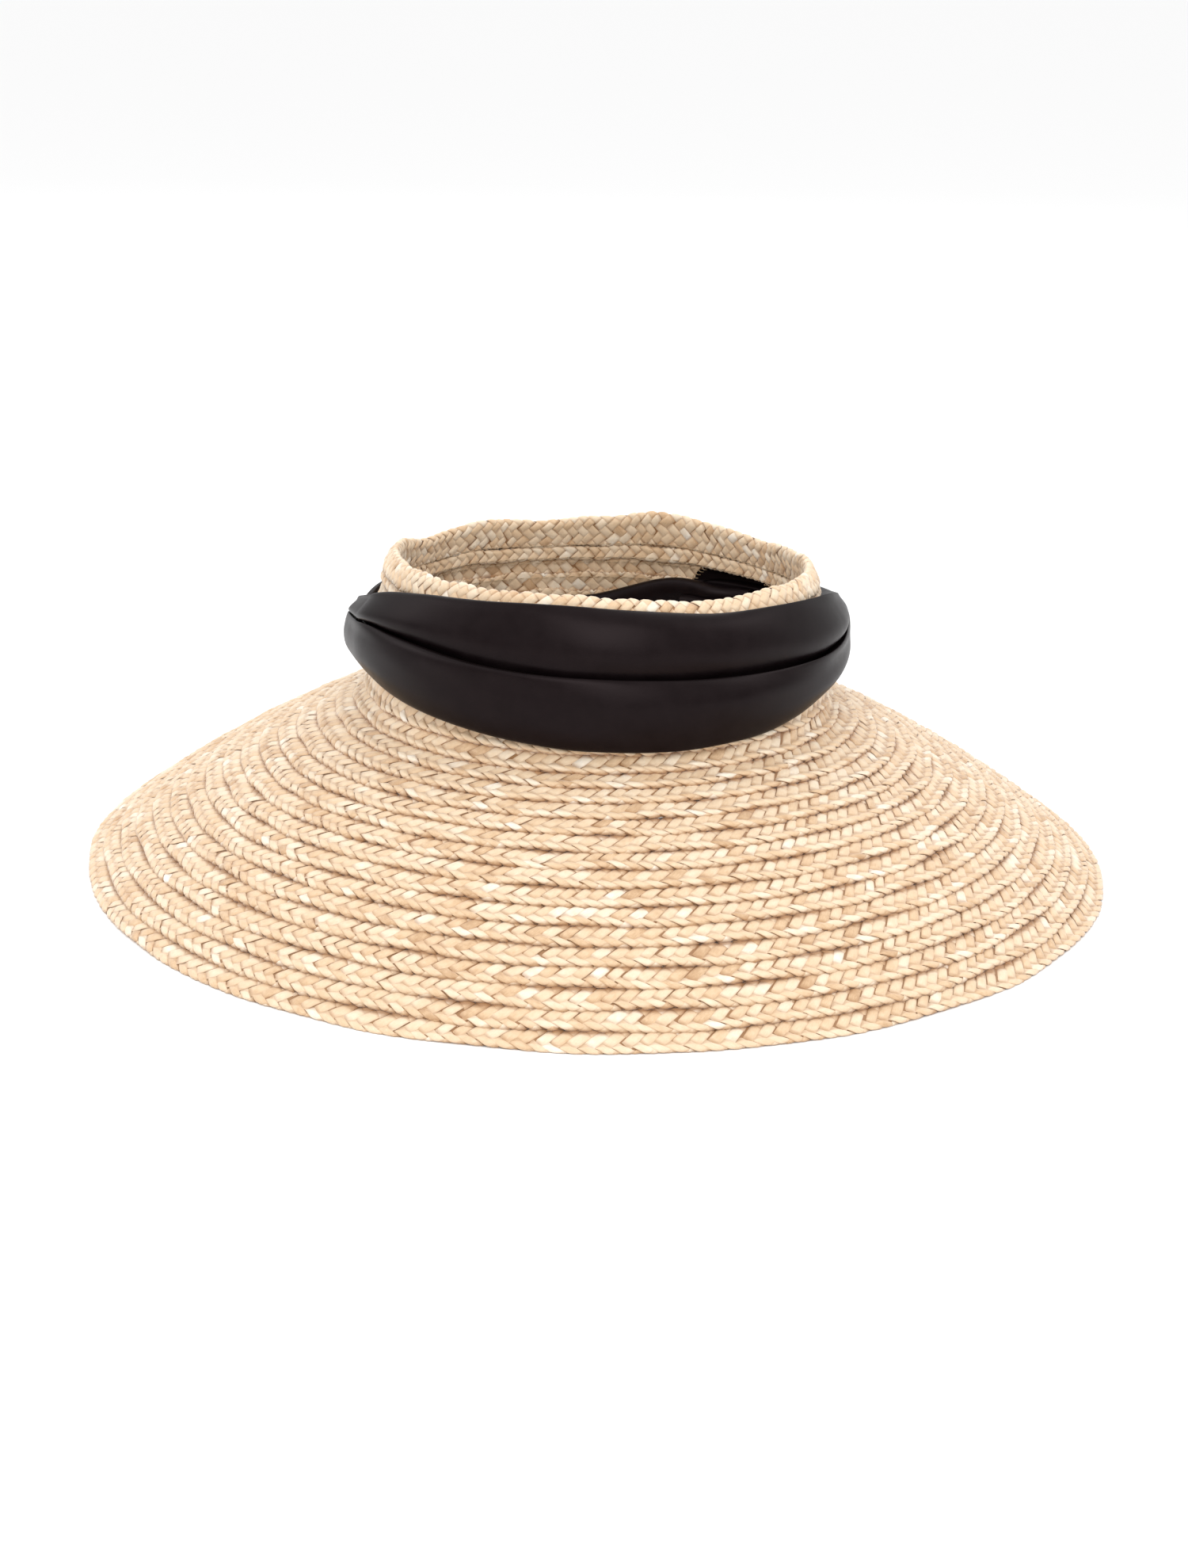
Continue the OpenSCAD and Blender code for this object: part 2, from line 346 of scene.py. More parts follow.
def straw_material(name, stops, shade_colour):
    """Straw: colour by strand, fine fibres along it, painted brown shade at its edges and in the
    row joints, a waxy gloss.
    """
    material, tree, shader = new_material(name)
    link = tree.links.new
    tone = attribute(tree, "tone", "Fac")
    strand = attribute(tree, "strand", "Vector")
    parts = add(tree, "ShaderNodeSeparateXYZ")
    link(strand, parts.inputs[0])
    stretch = add(tree, "ShaderNodeVectorMath", operation="MULTIPLY")
    stretch.inputs[1].default_value = FIBRE_STRETCH
    link(strand, stretch.inputs[0])
    fibre = noise(tree, stretch.outputs[0], scale=2.2, detail=4.0, roughness=0.62)
    blotch = noise(tree, object_place(tree), scale=260.0, detail=3.0, roughness=0.6)
    tone = add_scaled(tree, tone, fibre, FIBRE_SHARE)
    tone = add_scaled(tree, tone, blotch, BLOTCH_SHARE, clamp=True)
    colour = ramp(tree, tone, stops)
    # Painted shade: a strand's sides and ends, where the cracks between strands lie, are mixed
    # towards dark brown
    side, end = (ramp(tree, math_node(tree, "ABSOLUTE", from_half(tree, parts.outputs[axis])), shade_stops)
                 for axis, shade_stops in (("Y", SIDE_CRACK_SHADE), ("Z", END_CRACK_SHADE)))
    painted_edge_shade = math_node(tree, "MULTIPLY", math_node(tree, "MAXIMUM", side, end), PAINTED_CRACK_SHADE)
    colour = mix_colour(tree, painted_edge_shade, colour, shade_colour)
    # Painted shade in the joints between rows, read from the joint attribute
    joint = math_node(tree, "MULTIPLY", attribute(tree, "joint", "Fac"), PAINTED_JOINT_SHADE)
    link(mix_colour(tree, joint, colour, shade_colour), shader.inputs["Base Color"])
    link(ramp(tree, fibre, [(0.25, grey(0.36)), (0.8, grey(0.58))]), shader.inputs["Roughness"])
    add_bump(tree, shader, fibre, strength=0.35, distance=0.0002)
    set_inputs(shader, Specular_IOR_Level=0.42, Sheen_Weight=0.3)
    return material


def satin_material():
    """Black satin: a fine twill and a soft broad sheen."""
    material, tree, shader = new_material("black_satin")
    cloth = attribute(tree, "cloth", "Vector")
    twill = bands(tree, cloth, "DIAGONAL", scale=1.35, distortion=0.6)
    slub = noise(tree, cloth, scale=0.12, detail=4.0, roughness=0.6)
    blacks = [(0.3, (0.0045, 0.0026, 0.0029)), (0.75, (0.0075, 0.0048, 0.0052))]
    tree.links.new(ramp(tree, slub, blacks), shader.inputs["Base Color"])
    rough = ramp(tree, slub, [(0.2, grey(0.3)), (0.8, grey(0.4))])
    tree.links.new(rough, shader.inputs["Roughness"])
    add_bump(tree, shader, twill, strength=0.12, distance=0.0001)
    set_inputs(shader, Specular_IOR_Level=0.115, Specular_Tint=(1.0, 0.8, 0.82, 1))
    return material


def ribbon_material():
    """Grosgrain ribbon: close ribs that run up and down across it."""
    material, tree, shader = new_material("grosgrain_ribbon")
    ribs = bands(tree, attribute(tree, "cloth", "Vector"), "X", scale=1.6, distortion=0.25)
    blacks = [(0.1, (0.010, 0.009, 0.009)), (0.9, (0.032, 0.029, 0.029))]
    tree.links.new(ramp(tree, ribs, blacks), shader.inputs["Base Color"])
    add_bump(tree, shader, ribs, strength=0.6, distance=0.0002)
    set_inputs(shader, Roughness=0.62, Specular_IOR_Level=0.2)
    return material


def thread_material():
    """Sewing thread: pale tan, with the twist of its plies."""
    material, tree, shader = new_material("sewing_thread")
    ply = noise(tree, object_place(tree), scale=900.0, detail=2.0, roughness=0.5)
    tans = [(0.3, (0.36, 0.24, 0.13)), (0.7, (0.62, 0.47, 0.30))]
    tree.links.new(ramp(tree, ply, tans), shader.inputs["Base Color"])
    add_bump(tree, shader, ply, strength=0.4, distance=0.0001)
    set_inputs(shader, Roughness=0.6)
    return material


STRAW_STOPS = [(0.0, (0.52, 0.32, 0.17)), (0.2, (0.69, 0.48, 0.29)), (0.45, (0.78, 0.60, 0.41)),
               (0.68, (0.84, 0.70, 0.53)), (0.85, (0.88, 0.79, 0.67)), (1.0, (0.91, 0.86, 0.78))]
# The core's dark browns are painted shade for the cracks between strands
CORE_SHADE_STOPS = [(0.0, (0.30, 0.15, 0.06)), (1.0, (0.50, 0.30, 0.14))]
# The last colour is the dark brown of the painted shade in the cracks and the row joints
STRAW = straw_material("straw_strands", STRAW_STOPS, (0.31, 0.135, 0.045))
STRAW_CORE = straw_material("straw_core", CORE_SHADE_STOPS, (0.3, 0.15, 0.06))
SATIN = satin_material()
RIBBON = ribbon_material()
THREAD = thread_material()

# ---- Straw plait -----------------------------------------------------------------------

STRAND_PITCH = 5.35
# Along a strand the grid starts and ends under its neighbours; across it the edges are crisp
ALONG = np.array([-0.1, 0.02, 0.16, 0.36, 0.64, 0.84, 0.98, 1.1])
ACROSS = np.array([0.0, 0.1, 0.3, 0.7, 0.9, 1.0])
# How high a strand's middle stands over its ends, and how deep its ends lie
DOME, SINK = 0.72, 0.3
# How flat a strand's top is, how far past its column it dips, and how far its sides drop
FLATNESS, DIP_REACH, SIDE_DROP = 2.8, 1.2, 0.95
# How much strands differ: place, width, distance round the plait, dome, tilt and height
PLACES, WIDTHS, ROUNDS = (-0.11, 0.11), (0.88, 1.14), (-0.14, 0.14)
DOMES, TILTS, HEIGHTS = (0.8, 1.15), (-0.2, 0.2), (-0.05, 0.05)
# Tones from 0, brown, to 1, pale
TONE, TONE_RUN, TONE_SPREAD, TONE_LEAST = 0.39, 0.10, 0.11, 0.05
PALE_SHARE, PALE_SHARE_IN_RUN, PALE_TONES = 0.06, 0.08, (0.6, 0.8)
DARK_SHARE, DARK_TONES, CORE_TONE = 0.02, (0.05, 0.2), 0.1
# The core's grid: distance between its stations, and points round it
CORE_STEP, CORE_SIDES = 3.0, 14

# Neighbouring rows wander together, as each is sewn along the edge of the last
SHARED_SWAY = ripple(np.random.default_rng(5), (3, 30), 0.75)


class Section:
    """A closed cross-section of a plait: (s, n) points, walked by the distance q round it.
    start is the s of a row's inner edge, and None for a plait that has no such joint."""

    PROBE = 0.35

    def __init__(self, points, start=None):
        self.start = start
        self.points = np.array(list(points) + [points[0]], float)
        steps = np.linalg.norm(np.diff(self.points, axis=0), axis=1)
        self.at = np.concatenate([[0], np.cumsum(steps)])
        self.length = self.at[-1]

    def place(self, q, height):
        """The (s, n) of points at q, standing out from the section by a height."""
        q = np.mod(q, self.length)
        p, before, after = ([np.interp(np.mod(q + e, self.length), self.at, self.points[:, k])
                             for k in (0, 1)] for e in (0, -self.PROBE, self.PROBE))
        ts, tn = after[0] - before[0], after[1] - before[1]
        size = np.hypot(ts, tn) + 1e-9
        return p[0] - height * tn / size, p[1] + height * ts / size


def row_section(start):
    """A sewn row: thin where the row above lies on it, full and rounded at its outer edge."""
    w = np.array([-0.8, 1.2, 4.2, 6.4, 7.6, 8.8, 9.4, 9.75])
    fullness = np.array([0.8, 1.0, 1.1, 0.86, 1.25, 1.22, 0.95, 0.5])
    under_w = np.array([9.8, 9.2, 4.9, 0.9, -0.85])
    under = np.array([-0.2, -0.3, 0.0, 0.08, 0.22])
    top_points = zip(start + w, w * ROW_LIFT + PLAIT_THICKNESS * fullness)
    under_points = zip(start + under_w, under_w * ROW_LIFT + under)
    return Section(list(top_points) + list(under_points), start)


def in_slot(points, margin):
    """True where points lie inside a scarf slot's outline, shrunk by the margin."""
    inside = np.zeros(points.shape[:-1], bool)
    x, y, up = points[..., 0], points[..., 1] - STRAIGHT_SIDE / 2, points[..., 2] - SLOT_Z
    for side in (-1, 1):
        a = math.radians(side * SLOT_AZIMUTH)
        tangent = x * math.cos(a) + y * math.sin(a)
        outward = x * math.sin(a) - y * math.cos(a)
        along = np.maximum(np.abs(tangent) - SLOT_REACH, 0)
        inside |= (np.hypot(along, up) < SLOT_ROUND - margin) & (outward > 0)
    return inside


def joint_shade(section, q):
    """Painted shade for each point of a row, from 0 to 1, by how deep it lies in the joint with a
    neighbour: under the row above, under its own rolled edge, in a groove, and behind the next row
    inside.
    """
    if section.start is None:
        return np.zeros(q.size)
    s, n = section.place(q, 0)
    # w is the distance in millimetres from the row's inner edge
    w = s - section.start
    under_last = np.exp(-np.clip(w - 1.6, 0, 9) / 0.42)
    rolled_edge = 0.7 * ease(w, 9.25, 9.85)
    groove = 0.35 * np.exp(-((w - 6.5) / 0.45) ** 2)
    outside = np.maximum(np.maximum(under_last, rolled_edge), groove)
    inside = 0.8 * ease(w, 7.3, 8.2)
    return np.where(n > w * ROW_LIFT + PLAIT_THICKNESS / 2, outside, inside).clip(0, 1).ravel()


def strand_tones(rng, run, count):
    """Pale and dark strands come in runs, as one straw is used up, with odd ones between."""
    tones = np.clip(TONE + TONE_RUN * run + rng.normal(0, TONE_SPREAD, count), TONE_LEAST, 1)
    pale = rng.uniform(0, 1, count) < PALE_SHARE + PALE_SHARE_IN_RUN * (run > 0.5)
    tones = np.where(pale, rng.uniform(*PALE_TONES, count), tones)
    dark = rng.uniform(0, 1, count) < DARK_SHARE
    return np.where(dark, rng.uniform(*DARK_TONES, count), tones)


def plait(name, section, columns, seed, cut=False, pitch=STRAND_PITCH, wobble=1.0):
    """One ring of plait. Each column is (from q, to q, lean, angle): its strands lie side by
    side, lean +1 like a slash or -1 like a backslash, and dip under the columns beside it."""
    rng = np.random.default_rng(seed)
    middle_s = section.points[:, 0].mean()
    ring = OPENING_RADIUS + wall_point(middle_s, 0)[0]
    length = oval_length(ring)
    count = int(round(length / (pitch * rng.uniform(0.96, 1.05))))
    pitch = length / count
    drift, own_sway = ripple(rng, (3, 19), 1.3), ripple(rng, (5, 40), 0.26)
    lift, pale_run = ripple(rng, (3, 30), 0.26), ripple(rng, (9, 40), 1.0)
    phase = 0.02 * middle_s

    def each(limits):
        """A random value for each strand of a column, shaped to go with its grid."""
        return rng.uniform(*limits, count)[:, None, None]

    def ring_points(x, q, height):
        turn = 2 * math.pi * x / length
        s, n = section.place(q, height)
        s = s + wobble * (SHARED_SWAY(turn + phase) + own_sway(turn))
        azimuth, shift = round_oval(x + drift(turn), ring)
        offset, z = wall_point(s, n + wobble * lift(turn))
        px, py = oval(azimuth, offset, shift)
        return np.stack([px, py, z], -1).reshape(-1, 3)

    points, quads, tone, strand, joint = [], [], [], [], []
    shape = (count, len(ALONG), len(ACROSS))
    size = len(ALONG) * len(ACROSS)
    cell = grid_quads(len(ALONG), len(ACROSS))
    u, v = np.meshgrid(ALONG, ACROSS, indexing="ij")
    pillow = ((1 - np.abs(2 * u - 1) ** FLATNESS / DIP_REACH ** FLATNESS)
              * (1 - SIDE_DROP * np.abs(2 * v - 1) ** FLATNESS))
    for column, (q0, q1, lean, angle) in enumerate(columns):
        c, s = math.cos(math.radians(angle)), math.sin(math.radians(angle))
        own, other = np.array([c, -lean * s]), np.array([c, lean * s])
        along_step, across_step = (q1 - q0) / s, pitch / (2 * c)
        grid = ((u - 0.5)[..., None] * along_step * own
                + (v - 0.5)[..., None] * across_step * other)
        middle = (np.arange(count)[:, None, None] + 0.5 * (column % 2) + each(PLACES)) * pitch
        x = middle + grid[None, ..., 0] * each(WIDTHS)
        q = (q0 + q1) / 2 + grid[None, ..., 1] + each(ROUNDS)
        height = each(DOMES) * DOME * pillow - SINK + each(TILTS) * (2 * v - 1) + each(HEIGHTS)
        points.append(ring_points(x, q, height))
        # The joint attribute holds the painted shade in the joints between rows
        joint.append(joint_shade(section, q))
        quads.append(repeated_quads(cell, count, size, column * count * size))
        run = pale_run(2 * math.pi * middle.ravel() / length + 0.35 * column)
        tone.append(np.repeat(strand_tones(rng, run, count), size))
        seeds = each((0, 50))
        strand.append(np.stack([(u[None] * along_step + 20 * seeds).ravel(),
                                np.broadcast_to(v, shape).ravel(),
                                np.broadcast_to(u, shape).ravel()], -1))

    # The core under the strands, seen only in the cracks: its dark browns and its full joint shade
    # are painted shade for the gaps
    rounds = int(length / CORE_STEP)
    x, q = np.meshgrid(np.arange(rounds) * length / rounds,
                       np.arange(CORE_SIDES) * section.length / CORE_SIDES, indexing="ij")
    points.append(ring_points(x, q, np.full(x.shape, -SINK - 0.02)))
    joint.append(np.ones(x.size))
    tone.append(np.full(x.size, CORE_TONE))
    strand.append(np.stack([x.ravel(), np.full(x.size, 0.5), np.full(x.size, 0.5)], -1))
    quads.append(len(columns) * count * size + grid_quads(rounds, CORE_SIDES, True, True))

    slots = np.zeros(sum(len(some) for some in quads))
    slots[-len(quads[-1]):] = 1
    quads, points = np.concatenate(quads), settle(np.concatenate(points))
    if cut:
        keep = ~in_slot(points[quads].mean(1), 0.0)
        quads, slots = quads[keep], slots[keep]
    points[:, 2] = above_floor(points[:, 2])
    used = np.unique(quads)
    place = np.zeros(len(points), int)
    place[used] = np.arange(len(used))
    attributes = {"tone": tone, "strand": strand, "joint": joint}
    return mesh_piece(name, points[used], place[quads], [STRAW, STRAW_CORE], slots,
                      {key: np.concatenate(some)[used] for key, some in attributes.items()})


# ---- The sewn rows ---------------------------------------------------------------------

# From q, to q, lean, angle: the bead along the outer edge has longer, shallower strands
ROW_COLUMNS = [(-1.3, 2.2, -1, 49), (2.2, 6.7, 1, 47), (6.7, 10.1, -1, 36), (10.1, 13.5, 1, 49),
               (13.5, 17.0, -1, 49), (17.0, 20.4, 1, 49)]
STRAND_ANGLE = 49


def fitted(columns, section):
    """The columns, stretched to close round the section exactly."""
    scale = section.length / (columns[-1][1] - columns[0][0])
    return [(a * scale, b * scale, lean, angle) for a, b, lean, angle in columns]


def even_columns(section, width):
    """Columns of about that width all round a section, leaning one way and the other."""
    count = 2 * round(section.length / width / 2)
    width = section.length / count
    return [(i * width, (i + 1) * width, 1 - 2 * (i % 2), STRAND_ANGLE) for i in range(count)]


for row in range(1, COLLAR_ROWS + BRIM_ROWS + 1):
    section = row_section((row - 1) * ROW_PITCH)
    collar = row <= COLLAR_ROWS
    node = f"collar_row_{row}" if collar else f"brim_row_{row - COLLAR_ROWS}"
    piece = plait(node + "_plait", section, fitted(ROW_COLUMNS, section), 100 + row, cut=collar)
    finish_piece(piece, node)

# The plaits over and inside the rim lie a skin's distance off the rows
SKIN = 0.1
T = PLAIT_THICKNESS
OUTER = T + SKIN
FOLD_END = OUTER + FOLD_OUTSIDE * ROW_LIFT
rim_section = Section([
    (FOLD_OUTSIDE, FOLD_END + 0.2), (FOLD_OUTSIDE + 0.1, FOLD_END + 0.8 * T),
    (3.0, OUTER + 1.25 * T + 0.3), (0.5, OUTER + T + 0.1), (-1.4, OUTER + 0.7 * T),
    (-2.6, OUTER), (-3.0, 0.4 * T), (-2.5, -0.5 * T), (-1.0, -SKIN - T),
    (0.5, -SKIN - 1.1 * T), (5.0, -SKIN - 1.15 * T), (FOLD_INSIDE - 0.6, -SKIN - T),
    (FOLD_INSIDE, -SKIN - 0.5 * T), (FOLD_INSIDE - 0.3, -SKIN), (-0.3, -SKIN),
    (-0.3, OUTER)][::-1])
facing_section = Section([
    (FACING_END, -SKIN), (FOLD_INSIDE + 0.15, -SKIN), (FOLD_INSIDE + 0.15, -SKIN - 0.6 * T),
    (FOLD_INSIDE + 0.8, -SKIN - T), (FACING_END - 0.7, -SKIN - 1.1 * T),
    (FACING_END + 0.1, -SKIN - 0.6 * T)][::-1])
RIM_COLUMN, RIM_PITCH, RIM_WOBBLE = 3.6, 4.6, 0.6
for node, section, seed in (("rim_fold_plait", rim_section, 7),
                            ("rim_facing_plait", facing_section, 8)):
    piece = plait(node + "_straw", section, even_columns(section, RIM_COLUMN), seed,
                  pitch=RIM_PITCH, wobble=RIM_WOBBLE)
    finish_piece(piece, node)

# ---- Ribbon and thread -----------------------------------------------------------------

THREAD_RADIUS = 0.17
TUBE_SIDES = 6
TUBE_TURN = np.arange(TUBE_SIDES) * 2 * math.pi / TUBE_SIDES


def ring_band(name, profile, steps, material):
    """A closed band round the whole oval from (s, n) points, and its length."""
    profile = np.array(profile, float)
    ring = OPENING_RADIUS + wall_point(profile[:, 0].mean(), 0)[0]
    length = oval_length(ring)
    x = np.arange(steps) * length / steps
    azimuth, shift = round_oval(x, ring)
    offset, z = wall_point(profile[:, 0], profile[:, 1])
    px, py = oval(azimuth[:, None], offset[None], shift[:, None])
    points = np.stack([px, py, np.broadcast_to(z, px.shape)], -1)
    cloth = np.stack([np.broadcast_to(x[:, None], px.shape),
                      np.broadcast_to(np.arange(len(profile)) * 1.0, px.shape), 0 * px], -1)
    piece = mesh_piece(name, settle(points.reshape(-1, 3)),
                       grid_quads(steps, len(profile), True, True), [material],
                       attributes={"cloth": cloth.reshape(-1, 3)})
    return piece, length


BAND_END = S_BASE - 1
BAND_INNER, BAND_OUTER, BAND_BELLY = -1.3, -0.62, 0.25
band_in = [(BAND_END - t * SWEATBAND_HEIGHT, BAND_INNER - BAND_BELLY * math.sin(math.pi * t))
           for t in np.linspace(0, 1, 13)]
band_out = [(BAND_END - t * SWEATBAND_HEIGHT, BAND_OUTER) for t in np.linspace(1, 0, 5)]
sweatband, band_length = ring_band("sweatband_ribbon", band_in + band_out, 420, RIBBON)
finish_piece(sweatband, "sweatband")

STITCH_PITCH, STITCH_FILL, STITCH_RINGS = 3.6, 0.84, 5
STITCH_ARCH, STITCH_SLANT, STITCH_OFF = 0.16, 0.25, 0.12


def stitches(name, lines, node, cut=False):
    """Short stitches along lines of thread on the inner face: each line is (s, depth)."""
    rng = np.random.default_rng(3)
    along = np.linspace(-0.5, 0.5, STITCH_RINGS)
    arch = STITCH_ARCH * np.cos(math.pi * along)[None]
    radius = THREAD_RADIUS * np.cos(0.86 * math.pi * along)[None, :, None] + 0.03
    cell, size = grid_quads(STITCH_RINGS, TUBE_SIDES, False, True), STITCH_RINGS * TUBE_SIDES
    blocks = []
    for s, depth in lines:
        ring = OPENING_RADIUS + wall_point(s, 0)[0]
        length = oval_length(ring)
        count = int(length / STITCH_PITCH)
        x = ((np.arange(count)[:, None] + 0.5 + STITCH_FILL * along[None]) * length / count
             + rng.uniform(-0.15, 0.15, (count, 1)))
        wander = rng.uniform(-0.12, 0.12, (count, 1)) + STITCH_SLANT * along[None]
        ss = (s + 0.25 + wander)[..., None] + radius * np.cos(TUBE_TURN)
        nn = (-depth - STITCH_OFF - arch)[..., None] - radius * np.sin(TUBE_TURN)
        ss, nn = np.broadcast_arrays(ss, nn)
        azimuth, shift = round_oval(np.broadcast_to(x[..., None], ss.shape), ring)
        offset, z = wall_point(ss, nn)
        px, py = oval(azimuth, offset, shift)
        block = settle(np.stack([px, py, z], -1))
        if cut:
            block = block[~in_slot(block.mean((1, 2)), -0.6)]
        blocks.append(block.reshape(-1, 3))
    points = np.concatenate(blocks)
    piece = mesh_piece(name, points, repeated_quads(cell, len(points) // size, size), [THREAD])
    finish_piece(piece, node)


ON_PLAIT, ON_ROW = SKIN + T + 0.3, 0.3
FROM_JOINT = 0.8
stitches("rim_stitches", [(FOLD_INSIDE - 1.4, ON_PLAIT), (FACING_END - 1.6, ON_PLAIT)],
         "rim_stitching")
# The first collar line lies lower, clear of the facing's edge
stitches("collar_stitches", [(i * ROW_PITCH + (ROW_PITCH / 4 if i == 2 else FROM_JOINT), ON_ROW)
                             for i in range(2, COLLAR_ROWS)], "collar_stitching", cut=True)
stitches("brim_stitches", [((COLLAR_ROWS + i) * ROW_PITCH + FROM_JOINT, ON_ROW)
                           for i in range(BRIM_ROWS)], "brim_stitching")


def slot_outline(count):
    """Points round a slot's outline: distances along and up from its middle, and the way out."""
    arc, straight = math.pi * SLOT_ROUND, 2 * SLOT_REACH
    for k in range(count):
        d = (k + 0.5) * 2 * (arc + straight) / count
        if d < arc:
            a = d / SLOT_ROUND - math.pi / 2
            along = SLOT_REACH + SLOT_ROUND * math.cos(a)
        elif d < arc + straight:
            a, along = math.pi / 2, SLOT_REACH - (d - arc)
        elif d < 2 * arc + straight:
            a = (d - arc - straight) / SLOT_ROUND + math.pi / 2
            along = -SLOT_REACH + SLOT_ROUND * math.cos(a)
        else:
            a, along = -math.pi / 2, -SLOT_REACH + (d - 2 * arc - straight)
        yield along, SLOT_ROUND * math.sin(a), (math.cos(a), math.sin(a))


LOOPS, LOOP_RINGS = 58, 9
# A loop's reach over the edge, its bite into the straw, and its size through the wall
LOOP_REACH, LOOP_BITE, LOOP_THROUGH, LOOP_MIDDLE = 1.0, 0.7, 1.89, 1.1


def overcast(name, side, node):
    """Overcast thread round a slot: short loops over the cut edge of the straw."""
    middle = math.radians(side * SLOT_AZIMUTH)
    tangent = np.array([math.cos(middle), math.sin(middle), 0])
    outward = np.array([math.sin(middle), -math.cos(middle), 0])
    up_axis = np.array([0, 0, 1.0])
    centre = np.array([0, STRAIGHT_SIDE / 2, SLOT_Z])
    swing = (np.linspace(-0.9, 0.9, LOOP_RINGS) * math.pi)[:, None]
    off = LOOP_REACH * np.cos(swing) - LOOP_BITE
    through = LOOP_THROUGH * np.sin(swing)
    tubes = []
    for along, up, (away_along, away_up) in slot_outline(LOOPS):
        radius = OPENING_RADIUS + wall_offset(SLOT_Z + up)
        depth = math.sqrt(max(radius ** 2 - along ** 2, 1))
        spine = (centre + tangent * (along - off * away_along) + up_axis * (up - off * away_up)
                 + outward * (depth + LOOP_MIDDLE + through))
        forward = np.gradient(spine, axis=0)
        forward /= np.linalg.norm(forward, axis=1)[:, None]
        sideways = np.cross(forward, np.cross(outward, (away_along, away_up, 0)) + 1e-3)
        sideways /= np.linalg.norm(sideways, axis=1)[:, None]
        third = np.cross(forward, sideways)
        tube = spine[:, None] + THREAD_RADIUS * (
            np.cos(TUBE_TURN)[None, :, None] * sideways[:, None]
            + np.sin(TUBE_TURN)[None, :, None] * third[:, None])
        tubes.append(tube.reshape(-1, 3))
    quads = repeated_quads(grid_quads(LOOP_RINGS, TUBE_SIDES, False, True), LOOPS,
                           LOOP_RINGS * TUBE_SIDES)
    piece = mesh_piece(name, settle(np.concatenate(tubes)), quads, [THREAD])
    finish_piece(piece, node)


overcast("slot_stitches_right", 1, "slot_stitching_right")
overcast("slot_stitches_left", -1, "slot_stitching_left")

# ---- Scarf -----------------------------------------------------------------------------

FRONT_END = SLOT_AZIMUTH + 15.5
TAIL_START, TAIL_END = SLOT_AZIMUTH - 4, 171.0
STRAW_PROUD = 2.9

# The scarf's front by azimuth, fitted to the photograph. Heights are over the base
TOP_EDGE = [(-136, 30), (-133, 36), (-130, 39.5), (-127, 40.5), (-119, 40), (-112, 38),
            (-106, 35), (-98, 38), (-86, 47.5), (-76, 51), (-62, 53.5), (-38, 55), (-21, 54.7),
            (0, 54), (24, 53), (40, 52), (59, 50), (70, 47), (80, 43.5), (90, 41), (98, 39),
            (112, 39.5), (119, 40), (127, 40.5), (130, 39.5), (133, 36), (136, 30)]
CREASE = [(-134, 24), (-112, 29), (-98, 34), (-80, 38), (-62, 36.5), (-45, 34), (-30, 32.5),
          (0, 31.3), (30, 31), (45, 31), (60, 32), (70, 34), (80, 37), (90, 37), (100, 34),
          (112, 29), (134, 24)]
LOW_EDGE = [(-134, 13), (-119, 12.5), (-112, 14), (-98, 18), (-84, 18), (-68, 15), (-52, 12.5),
            (-40, 10.5), (-23, 8.3), (-9, 7.8), (3, 7.6), (25, 9.2), (37, 12), (50, 15.5),
            (68, 19.5), (84, 21), (98, 20), (112, 14), (119, 12.5), (134, 13)]
# How far the lower fold, the upper fold and the rolled top edge stand out from the straw
BULGE_LOW = [(-134, 1), (-127, 3.4), (-119, 5), (-112, 8), (-98, 11.8), (-84, 12.4),
             (-60, 11.5), (-30, 9.5), (0, 8.6), (30, 8.8), (60, 9), (84, 10), (98, 9.4),
             (112, 7), (119, 5), (127, 3.4), (134, 1)]
BULGE_HIGH = [(-134, 0.6), (-127, 2), (-119, 2.8), (-112, 4.5), (-104, 8), (-98, 10.3),
              (-84, 12.5), (-60, 9.5), (-30, 7), (0, 6.2), (30, 7), (60, 8.5), (84, 9.5),
              (98, 8.4), (112, 6), (119, 4), (127, 2.4), (134, 0.6)]
ROLL = [(-134, 0.4), (-119, 1.2), (-112, 2.5), (-104, 5.5), (-98, 8), (-84, 9.3), (-70, 6.5),
        (-50, 3.2), (-20, 1.7), (0, 1.6), (30, 2), (50, 3.2), (70, 7), (84, 7.4), (98, 6.6),
        (112, 4), (119, 2), (134, 0.4)]
TABLE_BLUR = np.linspace(-4, 4, 9)


def along(table, azimuth):
    """A smoothed reading of a fitted edge line at azimuths."""
    at, value = np.array(table, float).T
    return np.mean([np.interp(azimuth + d, at, value) for d in TABLE_BLUR], 0)


def smooth_curve(points, samples):
    """Catmull-Rom through points (N, stations, 2), spread evenly by control point."""
    p = np.concatenate([2 * points[:1] - points[1:2], points, 2 * points[-1:] - points[-2:-1]])
    t = np.linspace(0, len(points) - 1 - 1e-6, samples)
    i, f = t.astype(int), (t % 1)[:, None, None]
    a, b, c, d = p[i], p[i + 1], p[i + 2], p[i + 3]
    return 0.5 * (2 * b + (c - a) * f + (2 * a - 5 * b + 4 * c - d) * f ** 2
                  + (3 * b - a - 3 * c + d) * f ** 3)


def folded(line, samples):
    """Distance out and height over a folded strip, from control points at every station."""
    control = np.array([np.broadcast_arrays(out, z) for out, z in line], float)
    curve = smooth_curve(control.transpose(0, 2, 1), samples)
    return curve[..., 0].T, curve[..., 1].T


